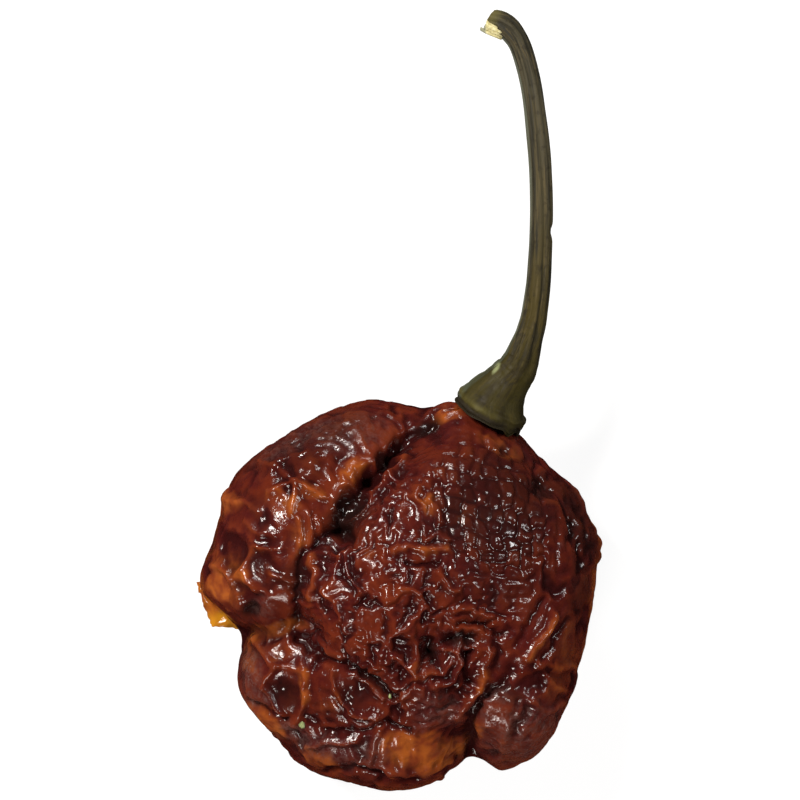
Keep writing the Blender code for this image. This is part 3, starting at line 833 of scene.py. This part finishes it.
def drawn_out(shares, place):
    """A closed rod. place(row, angle) gives a ring's points; the first and last rings are closed over."""
    bm = bmesh.new()
    bmesh.ops.create_grid(bm, x_segments=ROD_SIDES, y_segments=len(shares) - 1, size=1.0)
    strand_layer = bm.verts.layers.float_vector.new("strand")
    for vertex in bm.verts:
        angle = 270 + 180 * (vertex.co.x + 1)
        row = round((vertex.co.y + 1) / 2 * (len(shares) - 1))
        vertex[strand_layer] = (math.cos(math.radians(angle)), math.sin(math.radians(angle)), shares[row])
        vertex.co = place(row, angle % 360) * MM
    bmesh.ops.remove_doubles(bm, verts=bm.verts[:], dist=1e-7)
    bmesh.ops.holes_fill(bm, edges=[e for e in bm.edges if e.is_boundary])
    bmesh.ops.recalc_face_normals(bm, faces=bm.faces[:])
    caps = [f for f in bm.faces if len(f.verts) > 4]
    for edge in {e for f in caps for e in f.edges}:
        edge.smooth = False
    return bm


CALYX_ROWS = 64
UNDER_ROWS = 8
LIP_END = 14  # the row at which the lip ends
RIM_THICKNESS = 0.32
CALYX_TEETH = (  # (angle in degrees, half width in degrees, length in mm) of the rim's points
    (6, 9, 0.75), (42, 8, 0.50), (72, 14, 0.10), (118, 22, 0.15),
    (176, 16, 0.22), (232, 24, 0.3), (300, 24, 0.3),
)


def calyx_share(row):
    return SEAM * max(0.0, row - LIP_END) / (CALYX_ROWS - LIP_END)


def calyx_point(row, angle):
    """The first rows go out under the rim, the next turn over its lip and the rest climb the flare."""
    share = calyx_share(row)
    tooth = sum(long * math.exp(-((turn_gap(angle, at) / wide) ** 2)) for at, wide, long in CALYX_TEETH)
    frill = 0.10 * ring_noise(angle, 3.2, 4.0)
    edge = math.exp(-((share / 0.055) ** 2))
    slim = 0.07 * math.exp(-((turn_gap(angle, 180) / 45) ** 2)) * math.exp(-((share / 0.16) ** 2))
    lip = 0.045 * math.exp(-(((share - 0.075) / 0.018) ** 2)) - 0.045 * math.exp(-((share / 0.045) ** 2))
    if row < UNDER_ROWS:  # under the rim, from the middle outwards
        out = row / UNDER_ROWS
        return rod_point(0.0, angle, 0.12 + 0.80 * out, along=0.55 - 0.75 * out**2 - tooth * out**3)
    if row < LIP_END:  # round the lip
        around_lip = math.pi * (row - UNDER_ROWS) / (LIP_END - UNDER_ROWS)
        out = 0.92 + 0.085 * math.sin(around_lip) + frill * 0.3
        lift = -0.20 - RIM_THICKNESS * 0.5 * (1 + math.cos(around_lip)) * 0.5
        return rod_point(0.0, angle, out + 0.02 - slim, along=lift - tooth)
    dimples = 0.035 * ring_noise(angle, 1.0, share * 22, 2.4)
    swell = 1.0 + (frill * 0.3 + 0.01) * edge + lip + dimples - slim
    return rod_point(share, angle, swell, along=-(0.2 + tooth) * edge)


STEM_ROWS = 240
STEM_INSET = 6


def stem_share(row):
    return SEAM + (1 - SEAM) * max(0.0, row - STEM_INSET) / (STEM_ROWS - STEM_INSET)


def stem_point(row, angle):
    """The first rows run up inside the calyx. The end is broken off at a slant, with a ragged edge."""
    if row < STEM_INSET:
        return rod_point(SEAM, angle, 0.80, along=-0.9 + 0.12 * row)
    share = stem_share(row)
    end = smooth(np.array(share), 0.955, 1.0)
    ragged = 0.16 * ring_noise(angle, 1.0, 7.0, 2.6)
    facing = math.cos(math.radians(angle - 15))
    slant = 1.40 * float(smooth(np.array(facing), -0.35, 0.0)) - 0.90 - 0.30 * max(0.0, facing) ** 4
    notch = math.exp(-((turn_gap(angle, 4) / 30) ** 2) - ((share - 0.580) / 0.008) ** 2)
    return rod_point(share, angle, 1.0 - 0.20 * notch, along=float(end) * (slant + ragged))


def rod_piece(name, bm, material):
    piece = piece_from(bm, name, material)
    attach(piece, "root")
    return piece


def bark(name):
    """Dull, dried bark: streaks and fibres run along the rod, and its left edge carries a painted highlight,
    lighter where the light falls.
    """
    paint = Paint(name)
    made = paint.nodes.new("ShaderNodeAttribute")
    made.attribute_name = "strand"
    strand = made.outputs["Vector"]
    stretched = paint.add("ShaderNodeVectorMath", (strand, (1.0, 1.0, 3.2)), operation="MULTIPLY")
    fibre_noise = {"Vector": stretched, "Scale": 5.0, "Detail": 5.0, "Roughness": 0.6}
    streak_noise = {"Vector": stretched, "Scale": 2.3, "Detail": 3.0, "Roughness": 0.5}
    fibres = paint.add("ShaderNodeTexNoise", fibre_noise, "Fac")
    streaks = paint.add("ShaderNodeTexNoise", streak_noise, "Fac")
    spots = paint.noise(0.7, 4.0, 0.65)
    split = paint.add("ShaderNodeSeparateXYZ", (strand,), "Z")
    woody = paint.ramp(split, 0.22, 0.46)  # from the olive cap to the brown rod
    base_colour = paint.mix(woody, (0.042, 0.033, 0.007), (0.062, 0.046, 0.012))
    base_colour = paint.mix(paint.ramp(split, 0.42, 0.75), base_colour, (0.064, 0.055, 0.031))
    streak_colour = paint.mix(woody, (0.028, 0.021, 0.007), (0.025, 0.023, 0.015))
    fibre_colour = paint.mix(woody, (0.060, 0.045, 0.009), (0.110, 0.083, 0.036))
    left_highlight_colour = paint.mix(woody, (0.070, 0.078, 0.046), (0.110, 0.118, 0.085))
    colour = paint.mix(paint.ramp(streaks, 0.44, 0.60, 0.0, 0.9), base_colour, streak_colour)
    colour = paint.mix(paint.ramp(fibres, 0.54, 0.62, 0.0, 0.55), colour, fibre_colour)
    colour = paint.mix(paint.ramp(spots, 0.52, 0.70, 0.0, 0.6), colour, (0.018, 0.015, 0.009))
    side = paint.add("ShaderNodeSeparateXYZ", (strand,), "X")
    # Painted highlight: the rod's left edge is lighter where the light falls on it.
    painted_left_highlight = paint.times(paint.ramp(side, -0.84, -0.97), paint.ramp(fibres, 0.35, 0.55, 0.35, 0.9))
    colour = paint.mix(painted_left_highlight, colour, left_highlight_colour)
    lip = paint.times(paint.attribute("lip"), paint.ramp(streaks, 0.35, 0.6, 0.3, 1.0))
    colour = paint.mix(lip, colour, (0.086, 0.072, 0.017))
    colour = paint.mix(paint.ramp(split, 0.955, 0.985, 0.0, 0.75), colour, (0.125, 0.108, 0.034))
    colour = paint.mix(paint.attribute("shaded"), colour, (0.020, 0.015, 0.009))
    scar = paint.times(paint.attribute("scar"), paint.ramp(fibres, 0.3, 0.5))
    colour = paint.mix(scar, colour, (0.24, 0.26, 0.12))
    paint.put(colour, paint.shader.inputs["Base Color"])
    paint.put(paint.ramp(fibres, 0.3, 0.7, 0.42, 0.66), paint.shader.inputs["Roughness"])
    bump = paint.add("ShaderNodeBump", {"Strength": 0.7, "Distance": 0.12 * MM, "Height": fibres})
    paint.put(bump, paint.shader.inputs["Normal"])
    paint.shader.inputs["Specular IOR Level"].default_value = 0.13
    return paint


calyx_bm = drawn_out([calyx_share(row) for row in range(CALYX_ROWS + 1)], calyx_point)
calyx = rod_piece("calyx_cap", calyx_bm, bark("calyx_wood").material)
calyx_places = read_points(calyx.data) / MM
strands = np.empty(len(calyx_places) * 3, np.float32)
calyx.data.attributes["strand"].data.foreach_get("vector", strands)
strand_x, strand_y, strand_share = strands.reshape(-1, 3).T
lip = np.exp(-(((strand_share - 0.072) / 0.012) ** 2))
keep_attribute(calyx.data, "lip", lip * smooth(strand_x, 0.55, -0.1))
strand_turn = np.degrees(np.arctan2(strand_y, strand_x))
tongue = np.exp(-(((strand_turn - 42) / 11) ** 2))
keep_attribute(calyx.data, "shaded", 0.85 * (1 - smooth(strand_share, 0.035, 0.060)) * (1 - 0.9 * tongue))
calyx_x, calyx_y, _ = calyx_places.T
keep_attribute(calyx.data, "scar", patch(calyx_x, calyx_y, 8.50, 2.95, 0.20, 0.62, -35, 0.5, 1.2))
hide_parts("calyx")

stem_bm = drawn_out([stem_share(row) for row in range(STEM_ROWS + 1)], stem_point)
stem = rod_piece("stem_rod", stem_bm, bark("stem_bark").material)
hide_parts("stem")

# ---------------------------------------------------------------------------------------------------
# Pith
# The cream, fibrous core of the stem. Where the stem was broken off it stands out as a block of
# splinters.
# ---------------------------------------------------------------------------------------------------
PITH_SPLINTERS = (  # (right, up, half width, length) in mm, seen along the stem's end
    (-0.64, 0.10, 0.48, 0.42), (-0.84, 0.24, 0.36, 0.50), (-0.44, -0.10, 0.42, 0.40),
    (-0.90, -0.12, 0.34, 0.46), (-1.10, 0.12, 0.26, 0.80), (-0.40, 0.40, 0.38, 0.48),
    (-0.16, 0.24, 0.34, 0.30), (-0.66, 0.46, 0.30, 0.52),
)
PITH_SUNK = 1.1  # how far a splinter's foot is inside the stem, in mm
end_centre, end_ahead, _ = on_path(1.0)
end_right = end_ahead.cross(Vector((0, 0, 1))).normalized()
end_up = end_right.cross(end_ahead)
bm = bmesh.new()
for right, up, half, long in PITH_SPLINTERS:
    depth = long + 1.2
    cone = bmesh.ops.create_cone(
        bm, cap_ends=True, segments=7, radius1=half, radius2=half * 0.72, depth=depth)
    edges = list({e for v in cone["verts"] for e in v.link_edges})
    bmesh.ops.subdivide_edges(bm, edges=edges, cuts=3, use_grid_fill=True)
    new = [v for v in bm.verts if not v.tag]
    for vertex in new:
        vertex.tag = True
        wobble = noise.noise_vector(vertex.co * 2.4 + Vector((right * 9, up * 9, 0)))
        spot = vertex.co + wobble * 0.10
        vertex.co = (end_centre + end_right * (right + spot.x) + end_up * (up + spot.y)
                     + end_ahead * (spot.z + depth / 2 - PITH_SUNK)) * MM
bmesh.ops.recalc_face_normals(bm, faces=bm.faces[:])
pith_paint = Paint("stem_pith")
pith_fibre = pith_paint.noise(0.25, 4.0, 0.6)
pith_colour = pith_paint.mix(pith_paint.ramp(pith_fibre, 0.3, 0.7), (0.50, 0.43, 0.17), (0.80, 0.74, 0.42))
pith_along = pith_paint.add("ShaderNodeSeparateXYZ", (pith_paint.mm,), "X")
weathered = pith_paint.ramp(pith_along, end_centre.x - 0.72, end_centre.x - 0.90, 0.0, 0.85)
pith_colour = pith_paint.mix(weathered, pith_colour, (0.24, 0.25, 0.17))
pith_paint.put(pith_colour, pith_paint.shader.inputs["Base Color"])
pith_paint.shader.inputs["Roughness"].default_value = 0.8
pith_bump = pith_paint.add("ShaderNodeBump", {"Strength": 0.5, "Distance": 0.08 * MM, "Height": pith_fibre})
pith_paint.put(pith_bump, pith_paint.shader.inputs["Normal"])
pith = rod_piece("pith_splinters", bm, pith_paint.material)
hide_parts("stem_pith")
